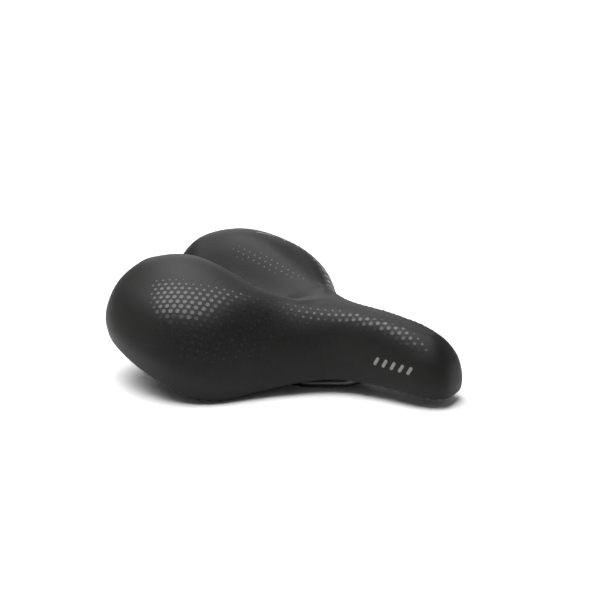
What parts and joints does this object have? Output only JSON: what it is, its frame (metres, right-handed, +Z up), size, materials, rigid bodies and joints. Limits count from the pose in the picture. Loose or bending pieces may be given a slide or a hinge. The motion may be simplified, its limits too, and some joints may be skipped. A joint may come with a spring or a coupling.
{
  "type": "bicycle saddle",
  "caption": "Wide comfort bicycle saddle with padded skin over foam and shell, two steel rails, a nose pivot and rubber tail dampers.",
  "frame": {"origin": "middle of the saddle in plan, on the plane of the undersides of the rails' straight clamp stretches", "axes": "+X towards the nose, +Y to the rider's left, +Z up"},
  "size_m": [0.2604, 0.2078, 0.091],
  "materials": {
    "skin": "matte",
    "foam": "matte",
    "shell": "matte",
    "painted_steel": "gloss",
    "nose_block": "matte",
    "damper_rubber": "matte",
    "zinc_steel": "satin",
    "brass": "satin",
    "white_nylon": "satin"
  },
  "bodies": {
    "undercarriage": {"rail_left": "painted_steel", "rail_right": "painted_steel", "nose_block": "nose_block", "rear_bridge": "painted_steel", "rail_strap_left": "zinc_steel", "rail_strap_right": "zinc_steel", "strap_rivet_left_inner": "zinc_steel", "strap_rivet_left_outer": "zinc_steel", "strap_rivet_right_inner": "zinc_steel", "strap_rivet_right_outer": "zinc_steel", "damper_left": "damper_rubber", "damper_right": "damper_rubber", "guide_bush_left": "white_nylon", "guide_bush_right": "white_nylon"},
    "seat": {"cover_skin": "skin", "foam_pad": "foam", "base_shell": "shell", "pivot_pin": "zinc_steel", "pin_clip": "zinc_steel", "bolt_washer_left": "zinc_steel", "bolt_washer_right": "zinc_steel", "shell_insert_left": "brass", "shell_insert_right": "brass", "damper_bolt_left": "zinc_steel", "damper_bolt_right": "zinc_steel", "hem_staple_01": "zinc_steel", "hem_staple_02": "zinc_steel", "hem_staple_03": "zinc_steel", "hem_staple_04": "zinc_steel", "hem_staple_05": "zinc_steel", "hem_staple_06": "zinc_steel", "hem_staple_07": "zinc_steel", "hem_staple_08": "zinc_steel", "hem_staple_09": "zinc_steel", "hem_staple_10": "zinc_steel", "hem_staple_11": "zinc_steel", "hem_staple_12": "zinc_steel", "hem_staple_13": "zinc_steel", "hem_staple_14": "zinc_steel", "hem_staple_15": "zinc_steel", "hem_staple_16": "zinc_steel", "hem_staple_17": "zinc_steel", "hem_staple_18": "zinc_steel"}
  },
  "joints": [
    {"name": "nose_pivot", "type": "hinge", "parent": "undercarriage", "child": "seat", "pos_m": [0.107, 0, 0.02185], "axis": [0, -1, 0], "range_deg": [0, 1], "stiffness_Nm_per_rad": 8000, "deforming": ["damper_left", "damper_right"]}
  ]
}
